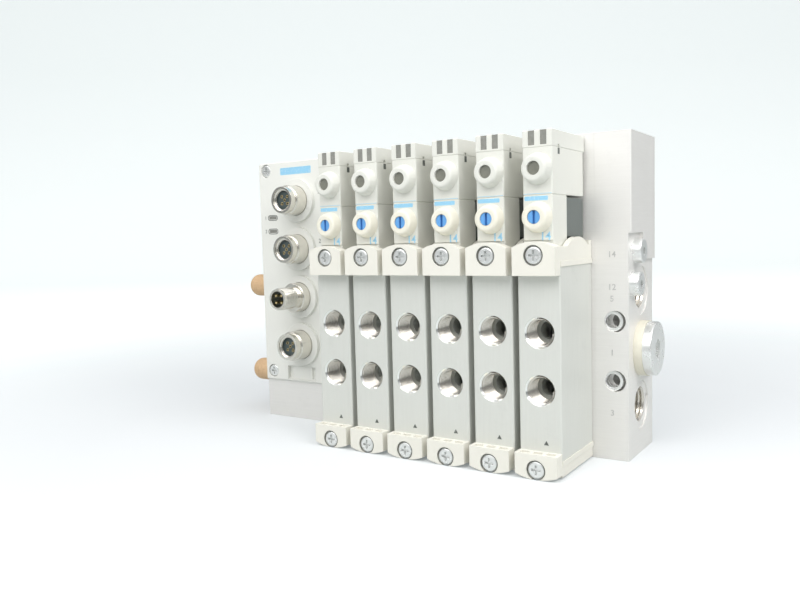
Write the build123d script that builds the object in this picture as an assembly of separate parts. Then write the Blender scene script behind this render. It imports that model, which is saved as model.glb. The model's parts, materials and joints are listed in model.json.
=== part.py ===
"""Pneumatic valve island: six slim 5/2-way valves on a ported rail, between two end plates.

Frame: X runs along the row of valves, Y from front to back, Z up. The origin lies on the floor
under the middle of the row, on the centre line of the rail. All sizes are in millimetres.
"""

from build123d import *
from math import radians, sin, cos
import os

# ---------------------------------------------------------------- driving dimensions
VALVES = 6                  # number of valves in the row
PITCH = 16.0                # from one valve to the next
VALVE_WIDTH = 14.0          # body width
RAIL_DEPTH = 28.0           # rail and end plates, front to back
RAIL_HEIGHT = 107.8         # rail and end plates
BODY_DEPTH = 27.5           # valve body, front to back
BODY_LOW = 5.6              # underside of the aluminium body
BODY_HIGH = 65.4            # top of the aluminium body
RIGHT_WIDTH = 12.1          # right end plate, along X
LEFT_WIDTH = 49.8           # left end plate, along X
SEAT = 0.3                  # sheet gasket between body and rail
SUPPLY_Z = 36.0             # height of the supply channel (port 1)
WORK_STEP = 9.0             # working ports lie this far above and below the supply
EXHAUST_STEP = 19.5         # exhaust channels lie this far above and below the supply

# working ports, G1/8
PORT_R = 4.4
PORT_DEPTH = 8.0
PORT_MOUTH_R = 4.95         # at the front of the chamfer
# rail channels and side ports, G1/4
CHANNEL_R = 4.6
SIDE_PORT_R = 5.9
SIDE_PORT_DEPTH = 10.0
SPOT_FACE_R = 8.4
SPOT_FACE_DEPTH = 0.5
PORT_THROAT_R = 2.9         # from the working port to the spool bore
DRILLING_R = 2.4            # cross drillings from channel to spool bore

# spool
SPOOL_BORE_R = 4.0
SPOOL_BORE_BACK = 12.5      # bore axis, in front of the body's back face
SPOOL_RUN = 0.05            # radial clearance of a land
SPOOL_ROD_R = 2.2
LAND_LENGTH = 3.4
SPOOL_TRAVEL = 2.5
SPOOL_END_GAP = 0.4         # free space left at the end of the travel

# end caps
CAP_PROUD = 4.2             # front tab stands this far in front of the body
CAP_TAB_HIGH_LOW = 62.8     # underside of the upper tab
CAP_HIGH = 71.5             # top of the upper cap at its sides
CAP_RISE = 1.7              # arch of the tabs
LOW_TAB_HIGH = 8.0          # top of the lower tab
LOW_TAB_SIDE = 1.4          # underside of the lower tab at its sides
LOW_BAND_BOTTOM = 0.6
CAP_LIP = 0.3               # lip around the joint stands proud of the body
CAP_LIP_HEIGHT = 1.7
LEDGE_SLOTS = 3             # label slots in the top of the lower tab
LEDGE_SLOT_WIDTH = 2.9
LEDGE_SLOT_STEP = 4.3
LEDGE_SLOT_DEPTH = 1.6
HUMP_CHORD = 18.0           # rounded lug beside the pilot
HUMP_RISE = 2.8
HUMP_WIDTH = 1.8
HUMP_BACK = 12.2            # lug centre, in front of the body's back face

# valve screws, M3 pan head
SCREW_R = 1.5
SCREW_CLEAR = 0.1
SCREW_HEAD_R = 2.85
SCREW_HEAD_HEIGHT = 2.0
SCREW_HEAD_CLEAR = 0.3
SCREW_UNDER = 0.2           # heads lie this far under the tab's face
SCREW_UPPER_Z = 69.0
SCREW_LOWER_Z = 3.0
SCREW_BITE = 8.0            # length of the screw in the rail
DRIVE_R = 1.6
DRIVE_WIDTH = 0.75
DRIVE_DEPTH = 1.1

# pilot valve
PILOT_WIDTH = 9.6
PILOT_DEPTH = 11.4          # lower housing
PILOT_TOP = 87.2            # joint between lower housing and upper cover
COVER_REAR = 1.5            # back of the cover, in front of the body's back face
COVER_TOP = 101.5           # joint between cover and lid
LID_REAR = 0.2              # back of the lid, in front of the body's back face
LID_HEIGHT = 5.3
COVER_WALL = 1.2
BOSS_LOW_Z = 80.5
BOSS_STEP = 14.6            # from the lower boss to the upper one
BOSS_R = 4.8
BOSS_NOSE_R = 3.9
BOSS_PROUD = 3.4
BOSS_ROUND = 0.9
BLANK_DEPTH = 0.9           # recess in the blank boss
SEAM = 0.2                  # chamfer along the joints of the pilot's mouldings
WINDOW_WIDTH = 2.1
WINDOW_STEP = 3.9
WINDOW_HEIGHT = 4.6
WINDOW_DEPTH = 1.3

# manual override, armature and coil
HEAD_R = 2.0
HEAD_CLEAR = 0.1
HEAD_LENGTH = 3.2
HEAD_UNDER = 0.3            # head lies this far under the nose of the boss
HEAD_SLOT_WIDTH = 0.8
HEAD_SLOT_DEPTH = 1.2
PLUNGER_R = 1.2
PLUNGER_CLEAR = 0.05
PUSH_TRAVEL = 1.0
PUSH_SPARE = 0.3            # free space behind the head at full travel
COIL_LOW = 74.4
COIL_HIGH = 86.6
COIL_REAR = 15.4            # back of the coil, in front of the rail's centre line
ARMATURE_R = 2.5
ARMATURE_LENGTH = 8.0
ARMATURE_CLEAR = 0.08
ARMATURE_GAP = 0.4          # from the housing's back to the armature at rest

# wiring duct in the rail, behind the pilots
DUCT_LOW = 76.0
DUCT_HIGH = 103.0
DUCT_WALL = 3.0
DUCT_INTO_PLATE = 20.0      # the duct ends this far inside the left end plate
DUCT_BOARD_END = 4.0        # the duct board ends this far before the duct's left end
DUCT_BOARD_Y = -4.0
BOARD_THICKNESS = 1.6

# right end plate
MOUNT_X = 6.7               # mounting hole axis, from the plate's inner face
MOUNT_HOLE_R = 2.2
MOUNT_HEAD_R = 3.5
MOUNT_HEAD_DEPTH = 4.6
MOUNT_STEP = 9.9            # mounting holes lie this far above and below MOUNT_MID_Z
MOUNT_MID_Z = 36.3
STEP_DEPTH = 1.0            # milled step on the outer side
STEP_FRONT_Z = 75.0
STEP_REAR_Z = 66.0
STEP_Y = -0.7
VENT_R = 0.6
VENT_Y = 7.7
VENT_Z = 18.2
SUPPLY_PLUG_R = 9.1
SUPPLY_PLUG_HEIGHT = 2.9
SUPPLY_RING_HEIGHT = 2.8
SUPPLY_HEX = 6.0
SUPPLY_STEM = 9.0           # from under the head to the plug's end
PILOT_PLUG_R = 4.0
PILOT_PLUG_HEIGHT = 3.0
PILOT_PLUG_STEM_R = 2.4
PILOT_PLUG_STEM = 5.0
PILOT_HEX = 2.5
PILOT_PLUGS = ((-6.4, 69.0), (-9.4, 58.4))
HEX_DEPTH = 2.2

# left end plate, module housing
BASE_HEIGHT = 16.0
BASE_PROUD = 1.8            # base stands this far in front of the rail
UPRIGHT_FRONT = -9.4        # front face of the upright behind the housing
HOUSING_FRONT = -17.0
HOUSING_TOP = 108.3
HOUSING_WALL = 2.0
HOUSING_GAP = 0.2           # from the housing to its neighbours
CONNECTORS = 4
CONNECTOR_X = -76.5
CONNECTOR_LOW_Z = 32.2
CONNECTOR_STEP = 19.9
POWER_CONNECTOR = 1         # counted from the lowest, the one with pins
RING_R = 8.9
RING_PROUD = 1.4
SHELL_R = 6.0
SHELL_CLEAR = 0.1
SHELL_SHOULDER = 6.0        # length of the wide part in front of the ring
SHELL_NOSE_R = 5.35
SHELL_NOSE = 2.6
SOCKET_R = 4.4
SOCKET_DEPTH = 2.0
SOCKET_CLEAR = 0.05
INSERT_LENGTH = 10.0
KEY_WIDTH = 1.4             # keyway at the top of each carrier
KEY_DEPTH = 1.0
POWER_SHOULDER = 4.0        # power connector
THREAD_R = 4.1
POWER_LENGTH = 9.3
PIN_ROOM = 5.5              # the carrier lies this far behind the barrel's end
POWER_BORE_R = 3.3
PIN_R = 0.45
PIN_CIRCLE_R = 2.0
PINS = 4
HOUSING_SCREW_R = 1.5
HOUSING_SCREW_HEAD_R = 2.5
HOUSING_SCREW_IN = 4.2      # screw axis from the housing's sides
HOUSING_SCREW_LENGTH = 10.4
HOUSING_SCREW_HEAD = 1.8
NOTCH_WIDTH = 15.0
NOTCH_HEIGHT = 5.8
NOTCH_DEPTH = 0.8
NOTCH_END = 2.4             # deeper slot at each end of the notch
NOTCH_END_DEPTH = 1.5
NOTCH_X = -77.8
LAMP_X = -90.6
LAMP_Z = (85.3, 79.6)
LAMP_LENGTH = 4.2
LAMP_WIDTH = 1.3

# silencers, sintered, in the left exhaust ports
SILENCER_R = 4.95
SILENCER_THREAD_R = 4.8
SILENCER_BITE = 8.0
SILENCER_LENGTH = 21.5
SILENCER_BORE_R = 2.8

# tie rods
TIE_R = 2.0
TIE_CLEAR = 0.1
TIE_HEAD_R = 3.5
TIE_HEAD_HEIGHT = 3.0
TIE_BITE = 6.0              # length of a rod in the right end plate
TIE_PLACES = ((9.5, 7.0), (9.5, 36.0), (9.5, 70.0))

# ---------------------------------------------------------------- worked-out places
RAIL_FRONT = -RAIL_DEPTH / 2
RAIL_HALF = VALVES * PITCH / 2
BODY_BACK = RAIL_FRONT - SEAT
BODY_FRONT = BODY_BACK - BODY_DEPTH
TAB_FRONT = BODY_FRONT - CAP_PROUD
BORE_Y = BODY_BACK - SPOOL_BORE_BACK
PORT_4_Z = SUPPLY_Z + WORK_STEP
PORT_2_Z = SUPPLY_Z - WORK_STEP
EXHAUST_5_Z = SUPPLY_Z + EXHAUST_STEP
EXHAUST_3_Z = SUPPLY_Z - EXHAUST_STEP
RIGHT_IN = RAIL_HALF
RIGHT_OUT = RAIL_HALF + RIGHT_WIDTH
STEP_X = RIGHT_OUT - STEP_DEPTH
LEFT_IN = -RAIL_HALF
LEFT_OUT = -RAIL_HALF - LEFT_WIDTH
BOSS_TIP = BODY_FRONT - BOSS_PROUD
HEAD_TIP = BOSS_TIP + HEAD_UNDER
HEAD_END = HEAD_TIP + HEAD_LENGTH
PILOT_REAR = BODY_FRONT + PILOT_DEPTH
ARMATURE_TIP = PILOT_REAR + ARMATURE_GAP
COVER_BACK = BODY_BACK - COVER_REAR
LID_BACK = BODY_BACK - LID_REAR
LID_TOP = COVER_TOP + LID_HEIGHT
RING_FACE = HOUSING_FRONT - RING_PROUD
POWER_TIP = RING_FACE - POWER_SHOULDER - POWER_LENGTH


def box(x0, x1, y0, y1, z0, z1):
    """A block between two corners."""
    return Pos((x0 + x1) / 2, (y0 + y1) / 2, (z0 + z1) / 2) * Box(x1 - x0, y1 - y0, z1 - z0)


def rod_x(radius, x0, x1, y, z):
    """A round bar along X."""
    return Pos((x0 + x1) / 2, y, z) * Rot(0, 90, 0) * Cylinder(radius, x1 - x0)


def rod_y(radius, y0, y1, x, z):
    """A round bar along Y."""
    return Pos(x, (y0 + y1) / 2, z) * Rot(90, 0, 0) * Cylinder(radius, y1 - y0)


def rod_z(radius, z0, z1, x, y):
    """A round bar along Z."""
    return Pos(x, y, (z0 + z1) / 2) * Cylinder(radius, z1 - z0)


def cone_y(front_radius, back_radius, y0, y1, x, z):
    """A cone along Y, with its radius at the front and at the back."""
    turned = Rot(-90, 0, 0) * Cone(front_radius, back_radius, y1 - y0)
    return Pos(x, (y0 + y1) / 2, z) * turned


def valve_x(index):
    """Centre of valve 0 to VALVES - 1, from the left."""
    return (index - (VALVES - 1) / 2) * PITCH


def all_valves(shape):
    """The same shape once at each valve, as separate solids."""
    return Compound([Pos(valve_x(i), 0, 0) * shape for i in range(VALVES)])


def cross_drive(x, y, z):
    """Cross recess that opens at y towards the front."""
    slot = box(x - DRIVE_R, x + DRIVE_R, y - 1, y + DRIVE_DEPTH, z - DRIVE_WIDTH / 2, z + DRIVE_WIDTH / 2)
    across = box(x - DRIVE_WIDTH / 2, x + DRIVE_WIDTH / 2, y - 1, y + DRIVE_DEPTH, z - DRIVE_R, z + DRIVE_R)
    return slot + across


# ---------------------------------------------------------------- valve slice
def valve_body():
    """Aluminium body with its spool bore, working ports and passages to the rail."""
    half = VALVE_WIDTH / 2
    body = box(-half, half, BODY_FRONT, BODY_BACK, BODY_LOW, BODY_HIGH)
    body = chamfer(body.edges().filter_by(Axis.Z), 0.4)
    body -= rod_z(SPOOL_BORE_R, BODY_LOW, BODY_HIGH, 0, BORE_Y)
    for z in (PORT_4_Z, PORT_2_Z):
        body -= rod_y(PORT_R, BODY_FRONT, BODY_FRONT + PORT_DEPTH, 0, z)
        mouth_depth = PORT_MOUTH_R - PORT_R
        body -= cone_y(PORT_MOUTH_R, PORT_R, BODY_FRONT, BODY_FRONT + mouth_depth, 0, z)
        body -= rod_y(PORT_THROAT_R, BODY_FRONT, BORE_Y, 0, z)
    for z in (SUPPLY_Z, EXHAUST_5_Z, EXHAUST_3_Z):
        body -= rod_y(DRILLING_R, BORE_Y, BODY_BACK, 0, z)
    return body


def spool():
    """Spool with a land beside each working port and one at each end."""
    foot = BODY_LOW + SPOOL_END_GAP
    head = BODY_HIGH - SPOOL_TRAVEL - SPOOL_END_GAP
    land_r = SPOOL_BORE_R - SPOOL_RUN
    turned = rod_z(SPOOL_ROD_R, foot, head, 0, BORE_Y)
    half_step = WORK_STEP / 2
    middles = [SUPPLY_Z + side * half_step * n for side in (-1, 1) for n in (1, 3)]
    for middle in middles:
        turned += rod_z(land_r, middle - LAND_LENGTH / 2, middle + LAND_LENGTH / 2, 0, BORE_Y)
    turned += rod_z(land_r, foot, foot + LAND_LENGTH, 0, BORE_Y)
    turned += rod_z(land_r, head - LAND_LENGTH, head, 0, BORE_Y)
    return turned


def body_gasket():
    """Sheet gasket with a hole for each passage."""
    half = VALVE_WIDTH / 2 - 0.6
    sheet = box(-half, half, BODY_BACK, RAIL_FRONT, BODY_LOW + 0.8, BODY_HIGH - 0.6)
    for z in (SUPPLY_Z, EXHAUST_5_Z, EXHAUST_3_Z):
        sheet -= rod_y(DRILLING_R + 0.3, BODY_BACK, RAIL_FRONT, 0, z)
    return sheet


def arched_tab(flat_z, side_z, crown_z):
    """Front tab of an end cap: a flat edge on one side and an arch on the other."""
    half = VALVE_WIDTH / 2
    with BuildPart() as tab:
        with BuildSketch(Plane.XZ.offset(-BODY_FRONT)):
            with BuildLine():
                Line((-half, flat_z), (half, flat_z))
                Line((half, flat_z), (half, side_z))
                ThreePointArc((half, side_z), (0, crown_z), (-half, side_z))
                Line((-half, side_z), (-half, flat_z))
            make_face()
        extrude(amount=CAP_PROUD)
    return tab.part


def screw_way(z):
    """Clearance hole and head seat for a valve screw."""
    way = rod_y(SCREW_R + SCREW_CLEAR, TAB_FRONT, RAIL_FRONT, 0, z)
    seat_end = TAB_FRONT + SCREW_UNDER + SCREW_HEAD_HEIGHT
    return way + rod_y(SCREW_HEAD_R + SCREW_HEAD_CLEAR, TAB_FRONT, seat_end, 0, z)


def upper_end_cap():
    """Moulded cap that closes the top of the spool bore and carries the pilot."""
    half = VALVE_WIDTH / 2
    cap = box(-half, half, BODY_FRONT, BODY_BACK, BODY_HIGH, CAP_HIGH)
    cap += box(-half - CAP_LIP, half + CAP_LIP, BODY_FRONT, BODY_BACK, BODY_HIGH, BODY_HIGH + CAP_LIP_HEIGHT)
    cap += arched_tab(CAP_TAB_HIGH_LOW, CAP_HIGH, CAP_HIGH + CAP_RISE)
    cap += box(-half, half, BODY_BACK - 2.6, BODY_BACK, CAP_HIGH, CAP_HIGH + 1.5)
    hump_r = (HUMP_CHORD ** 2 / 4 + HUMP_RISE ** 2) / (2 * HUMP_RISE)
    hump_y = BODY_BACK - HUMP_BACK
    hump = rod_x(hump_r, half - HUMP_WIDTH, half, hump_y, CAP_HIGH + HUMP_RISE - hump_r)
    cap += hump & box(-half, half, BODY_FRONT, BODY_BACK, CAP_HIGH, CAP_HIGH + HUMP_RISE)
    cap += rod_z(SPOOL_BORE_R - SPOOL_RUN, BODY_HIGH - SPOOL_END_GAP / 2, BODY_HIGH, 0, BORE_Y)
    return cap - screw_way(SCREW_UPPER_Z)


def lower_end_cap():
    """Moulded cap that closes the bottom of the spool bore, with label slots in its ledge."""
    half = VALVE_WIDTH / 2
    cap = box(-half, half, BODY_FRONT, BODY_BACK, LOW_BAND_BOTTOM, BODY_LOW)
    lip_low = BODY_LOW - CAP_LIP_HEIGHT
    cap += box(-half - CAP_LIP, half + CAP_LIP, BODY_FRONT, BODY_BACK, lip_low, BODY_LOW)
    cap += arched_tab(LOW_TAB_HIGH, LOW_TAB_SIDE, 0)
    cap += rod_z(SPOOL_BORE_R - SPOOL_RUN, BODY_LOW, BODY_LOW + SPOOL_END_GAP / 2, 0, BORE_Y)
    slot_front = TAB_FRONT + 1.1
    slot_back = BODY_FRONT - 1.2
    for n in range(LEDGE_SLOTS):
        x = (n - (LEDGE_SLOTS - 1) / 2) * LEDGE_SLOT_STEP
        left = x - LEDGE_SLOT_WIDTH / 2
        right = x + LEDGE_SLOT_WIDTH / 2
        cap -= box(left, right, slot_front, slot_back, LOW_TAB_HIGH - LEDGE_SLOT_DEPTH, LOW_TAB_HIGH)
    return cap - screw_way(SCREW_LOWER_Z)


def valve_screw(z):
    """Pan-head screw that clamps a valve to the rail."""
    head_front = TAB_FRONT + SCREW_UNDER
    head_back = head_front + SCREW_HEAD_HEIGHT
    head = rod_y(SCREW_HEAD_R, head_front, head_back, 0, z)
    head = fillet(head.edges().group_by(Axis.Y)[0], 0.7)
    screw = head + rod_y(SCREW_R, head_back, RAIL_FRONT + SCREW_BITE, 0, z)
    return screw - cross_drive(0, head_front, z)


# ---------------------------------------------------------------- pilot valve
def pilot_boss(z):
    """Domed boss on the front of a pilot housing."""
    boss = cone_y(BOSS_NOSE_R, BOSS_R, BOSS_TIP, BODY_FRONT, 0, z)
    return fillet(boss.edges().group_by(Axis.Y)[0], BOSS_ROUND)


def pilot_housing():
    """Lower pilot housing, with the bore that guides the manual override."""
    half = PILOT_WIDTH / 2
    foot = CAP_HIGH + CAP_RISE + SEAT
    shell = box(-half, half, BODY_FRONT, PILOT_REAR, foot, PILOT_TOP)
    shell += box(-half, half, BODY_FRONT + 0.4, PILOT_REAR, CAP_HIGH, foot)
    shell = chamfer(shell.edges().filter_by(Axis.Z).group_by(Axis.Y)[0], 0.3)
    shell = chamfer(shell.faces().sort_by(Axis.Z)[-1].edges(), SEAM)
    shell += pilot_boss(BOSS_LOW_Z)
    bore_end = HEAD_END + PUSH_TRAVEL + PUSH_SPARE
    shell -= rod_y(HEAD_R + HEAD_CLEAR, BOSS_TIP, bore_end, 0, BOSS_LOW_Z)
    shell -= rod_y(PLUNGER_R + PLUNGER_CLEAR, bore_end, PILOT_REAR, 0, BOSS_LOW_Z)
    return shell


def pilot_cover():
    """Upper cover with a blank boss, hollow for the contacts of the coil."""
    half = PILOT_WIDTH / 2
    back = COVER_BACK
    cover = box(-half, half, BODY_FRONT, back, PILOT_TOP, COVER_TOP)
    cover = chamfer(cover.edges().filter_by(Axis.Z).group_by(Axis.Y)[0], 0.3)
    cover = chamfer(cover.faces().sort_by(Axis.Z)[0].edges(), SEAM)
    z = BOSS_LOW_Z + BOSS_STEP
    cover += pilot_boss(z)
    cover -= rod_y(HEAD_R + HEAD_CLEAR, BOSS_TIP, BOSS_TIP + BLANK_DEPTH, 0, z)
    inside = half - COVER_WALL
    room_front = BODY_FRONT + 3.0
    cover -= box(-inside, inside, room_front, back - COVER_WALL, PILOT_TOP + COVER_WALL, COVER_TOP)
    return cover


def cover_lid():
    """Lid over the cover, with two notches for the lamp windows and a latch hole at each side."""
    half = PILOT_WIDTH / 2
    lid = box(-half, half, BODY_FRONT, LID_BACK, COVER_TOP, LID_TOP)
    lid = fillet(lid.edges().group_by(Axis.Z)[-1], 0.5)
    lid = chamfer(lid.faces().sort_by(Axis.Z)[0].edges(), SEAM)
    latch_y = BODY_FRONT + 5.2
    for side in (-1, 1):
        x = side * WINDOW_STEP / 2
        w = WINDOW_WIDTH / 2
        lid -= box(x - w, x + w, BODY_FRONT - 1, BODY_FRONT + WINDOW_DEPTH, LID_TOP - WINDOW_HEIGHT, LID_TOP + 1)
        lid -= Pos(side * half, latch_y, COVER_TOP + 0.5) * Box(1.2, 1.3, 1.0)
    return lid


def light_guides():
    """The two clear windows in the front edge of a lid."""
    w = WINDOW_WIDTH / 2
    front = BODY_FRONT + 0.2
    back = BODY_FRONT + WINDOW_DEPTH
    made = []
    for side in (-1, 1):
        x = side * WINDOW_STEP / 2
        made.append(box(x - w, x + w, front, back, LID_TOP - WINDOW_HEIGHT, LID_TOP - 0.2))
    return made


def override_head():
    """Slotted head of the manual override."""
    head = rod_y(HEAD_R, HEAD_TIP, HEAD_END, 0, BOSS_LOW_Z)
    slot_half = HEAD_SLOT_WIDTH / 2
    reach = HEAD_R + 1
    slot_end = HEAD_TIP + HEAD_SLOT_DEPTH
    return head - box(-slot_half, slot_half, HEAD_TIP - 1, slot_end, BOSS_LOW_Z - reach, BOSS_LOW_Z + reach)


def override_plunger():
    """Pin between the head and the armature: it carries the head's push."""
    return rod_y(PLUNGER_R, HEAD_END, ARMATURE_TIP, 0, BOSS_LOW_Z)


def solenoid_coil():
    """Encapsulated coil behind the lower housing, bored for the armature."""
    half = PILOT_WIDTH / 2 - 0.3
    back = -COIL_REAR
    coil = box(-half, half, PILOT_REAR, back, COIL_LOW, COIL_HIGH)
    bore_end = ARMATURE_TIP + ARMATURE_LENGTH + PUSH_TRAVEL + PUSH_SPARE
    coil -= rod_y(ARMATURE_R + ARMATURE_CLEAR, PILOT_REAR, bore_end, 0, BOSS_LOW_Z)
    coil += box(-half, half, back - 4, back, CAP_HIGH + 1.8, COIL_LOW)
    coil += box(-2.6, 2.6, back, RAIL_FRONT, COIL_LOW + 3, COIL_HIGH - 3)
    return coil


def armature():
    """Iron armature that slides in the coil."""
    return rod_y(ARMATURE_R, ARMATURE_TIP, ARMATURE_TIP + ARMATURE_LENGTH, 0, BOSS_LOW_Z)


# ---------------------------------------------------------------- rail and end plates
def channel_heights():
    """Heights of the supply and exhaust channels, from the top."""
    return (EXHAUST_5_Z, SUPPLY_Z, EXHAUST_3_Z)


def tie_way(x0, x1):
    """Clearance holes for the tie rods between two faces."""
    ways = [rod_x(TIE_R + TIE_CLEAR, x0, x1, y, z) for y, z in TIE_PLACES]
    return ways[0] + ways[1] + ways[2]


def manifold_rail():
    """Extruded rail with three channels, a wiring duct and the drillings for each valve."""
    rail = box(LEFT_IN, RIGHT_IN, RAIL_FRONT, -RAIL_FRONT, 0, RAIL_HEIGHT)
    for z in channel_heights():
        rail -= rod_x(CHANNEL_R, LEFT_IN, RIGHT_IN, 0, z)
    inner = -RAIL_FRONT - DUCT_WALL
    rail -= box(LEFT_IN, RIGHT_IN, -inner, inner, DUCT_LOW, DUCT_HIGH)
    rail -= tie_way(LEFT_IN, RIGHT_IN)
    for i in range(VALVES):
        x = valve_x(i)
        for z in channel_heights():
            rail -= rod_y(DRILLING_R, RAIL_FRONT, 0, x, z)
        for z in (SCREW_UPPER_Z, SCREW_LOWER_Z):
            rail -= rod_y(SCREW_R + SCREW_CLEAR, RAIL_FRONT, RAIL_FRONT + SCREW_BITE + 1, x, z)
    return rail


def right_end_plate():
    """Right plate: side ports, a milled step on its outer side and two mounting holes."""
    plate = box(RIGHT_IN, RIGHT_OUT, RAIL_FRONT, -RAIL_FRONT, 0, RAIL_HEIGHT)
    plate = chamfer(plate.edges().filter_by(Axis.Z).group_by(Axis.X)[-1], 0.3)
    plate -= box(STEP_X, RIGHT_OUT + 1, RAIL_FRONT - 1, STEP_Y, -1, STEP_FRONT_Z)
    plate -= box(STEP_X, RIGHT_OUT + 1, STEP_Y, -RAIL_FRONT + 1, -1, STEP_REAR_Z)
    for z in channel_heights():
        plate -= rod_x(CHANNEL_R, RIGHT_IN, STEP_X, 0, z)
        plate -= rod_x(SIDE_PORT_R, STEP_X - SIDE_PORT_DEPTH, STEP_X, 0, z)
    for z in (EXHAUST_5_Z, EXHAUST_3_Z):
        plate -= rod_x(SPOT_FACE_R, STEP_X - SPOT_FACE_DEPTH, STEP_X, 0, z)
    mount_x = RIGHT_IN + MOUNT_X
    for side in (-1, 1):
        z = MOUNT_MID_Z + side * MOUNT_STEP
        plate -= rod_y(MOUNT_HOLE_R, RAIL_FRONT, -RAIL_FRONT, mount_x, z)
        plate -= rod_y(MOUNT_HEAD_R, RAIL_FRONT, RAIL_FRONT + MOUNT_HEAD_DEPTH, mount_x, z)
    for y, z in PILOT_PLUGS:
        plate -= rod_x(PILOT_PLUG_STEM_R + 0.1, STEP_X - PILOT_PLUG_STEM - 1, STEP_X, y, z)
    plate -= rod_x(VENT_R, STEP_X - 4, STEP_X, VENT_Y, VENT_Z)
    return plate - tie_way(RIGHT_IN, RIGHT_IN + TIE_BITE + 0.5)


def hexagon_bar(across, x0, x1, y, z):
    """A hexagon bar along X."""
    flat = RegularPolygon(across / 2, 6, major_radius=False)
    return Pos(x0, y, z) * Rot(0, 90, 0) * extrude(flat, x1 - x0)


def screw_plug(radius, height, seat_x, stem_r, stem, hexagon, y, z):
    """Screw plug with a round head and a hexagon socket, seated at seat_x."""
    head = rod_x(radius, seat_x, seat_x + height, y, z)
    head = fillet(head.edges().group_by(Axis.X)[-1], 0.5)
    plug = head + rod_x(stem_r, seat_x - stem, seat_x, y, z)
    return plug - hexagon_bar(hexagon, seat_x + height - HEX_DEPTH, seat_x + height + 1, y, z)


def supply_plug_ring():
    """Soft ring under the large plug."""
    ring = rod_x(SUPPLY_PLUG_R + 0.3, STEP_X, STEP_X + SUPPLY_RING_HEIGHT, 0, SUPPLY_Z)
    return ring - rod_x(SIDE_PORT_R, STEP_X, STEP_X + SUPPLY_RING_HEIGHT, 0, SUPPLY_Z)


def left_end_plate():
    """Left plate: a base that shows at the front, and an upright behind the module housing."""
    base_front = RAIL_FRONT - BASE_PROUD
    plate = box(LEFT_OUT, LEFT_IN, base_front, -RAIL_FRONT, 0, BASE_HEIGHT)
    plate += box(LEFT_OUT, LEFT_IN, UPRIGHT_FRONT, -RAIL_FRONT, BASE_HEIGHT, RAIL_HEIGHT)
    for z in channel_heights():
        plate -= rod_x(CHANNEL_R, LEFT_OUT, LEFT_IN, 0, z)
    for z in (EXHAUST_5_Z, EXHAUST_3_Z):
        plate -= rod_x(SILENCER_THREAD_R + 0.1, LEFT_OUT, LEFT_OUT + SILENCER_BITE + 1, 0, z)
    inner = -RAIL_FRONT - DUCT_WALL
    plate -= box(LEFT_IN - DUCT_INTO_PLATE, LEFT_IN, UPRIGHT_FRONT, inner, DUCT_LOW, DUCT_HIGH)
    for y, z in TIE_PLACES:
        plate -= rod_x(TIE_HEAD_R + 0.2, LEFT_OUT, LEFT_OUT + TIE_HEAD_HEIGHT + 1, y, z)
    for x, z in housing_screw_places():
        plate -= rod_y(HOUSING_SCREW_R + 0.1, UPRIGHT_FRONT, UPRIGHT_FRONT + 3.2, x, z)
    return plate - tie_way(LEFT_OUT, LEFT_IN)


def tie_rods():
    """Rods that pull the two plates against the rail."""
    made = []
    for y, z in TIE_PLACES:
        seat = LEFT_OUT + TIE_HEAD_HEIGHT + 1
        rod = rod_x(TIE_R, seat, RIGHT_IN + TIE_BITE, y, z)
        rod += rod_x(TIE_HEAD_R, seat - TIE_HEAD_HEIGHT, seat, y, z)
        made.append(rod - hexagon_bar(3.0, seat - TIE_HEAD_HEIGHT - 1, seat - 1.2, y, z))
    return Compound(made)


def silencer(z):
    """Sintered silencer: threaded neck, round barrel and domed end, open inside."""
    tip = LEFT_OUT - SILENCER_LENGTH
    barrel = rod_x(SILENCER_R, tip, LEFT_OUT, 0, z)
    barrel = fillet(barrel.edges().group_by(Axis.X)[0], SILENCER_R * 0.8)
    body = barrel + rod_x(SILENCER_THREAD_R, LEFT_OUT, LEFT_OUT + SILENCER_BITE, 0, z)
    return body - rod_x(SILENCER_BORE_R, tip + 5, LEFT_OUT + SILENCER_BITE, 0, z)


# ---------------------------------------------------------------- module on the left
def connector_z(index):
    """Height of connector 0 to CONNECTORS - 1, from the lowest."""
    return CONNECTOR_LOW_Z + index * CONNECTOR_STEP


def housing_span():
    """Left, right and lower limits of the module housing."""
    return LEFT_OUT, LEFT_IN - HOUSING_GAP, BASE_HEIGHT


def housing_screw_places():
    """Places of the four housing screws."""
    left, right, low = housing_span()
    xs = (left + HOUSING_SCREW_IN, right - HOUSING_SCREW_IN)
    zs = (low + HOUSING_SCREW_IN - 0.4, HOUSING_TOP - HOUSING_SCREW_IN + 1)
    return [(x, z) for x in xs for z in zs]


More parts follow.
